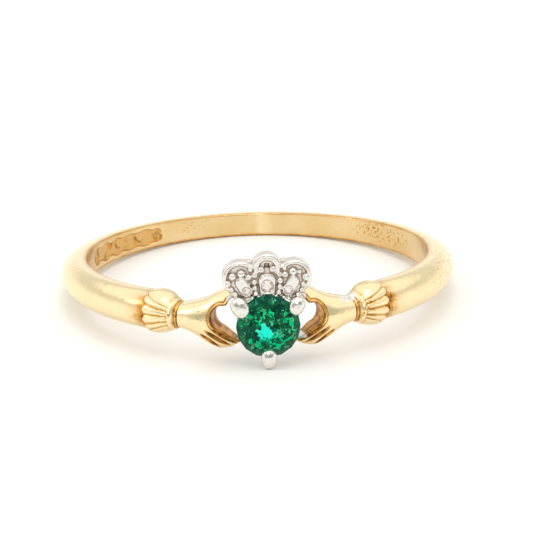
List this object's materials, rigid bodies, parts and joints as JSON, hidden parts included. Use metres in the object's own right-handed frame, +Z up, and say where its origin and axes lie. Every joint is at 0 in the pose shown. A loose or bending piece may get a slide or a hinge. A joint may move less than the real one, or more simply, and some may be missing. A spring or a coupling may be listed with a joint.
{
  "type": "claddagh ring",
  "caption": "Yellow gold finger ring whose two cuffed hands hold a round green stone in claws under a white gold crown.",
  "frame": {"origin": "middle of the finger hole, on its axis", "axes": "+Z up with the ring lying on its side on a surface, head towards -Y; the finger's axis leans 5.03 degrees from +Z towards +Y, because the ring rests on its lowest claw and the back of its band"},
  "size_m": [0.02, 0.0206, 0.0056],
  "materials": {
    "yellow_gold": "polished, worn",
    "white_gold": "polished",
    "emerald": "cut and polished",
    "diamond": "cut and polished"
  },
  "bodies": {
    "root": {"band_with_hands": "yellow_gold", "crown_setting": "white_gold", "emerald": "emerald", "crown_diamond_left": "diamond", "crown_diamond_centre": "diamond", "crown_diamond_right": "diamond"}
  },
  "joints": []
}
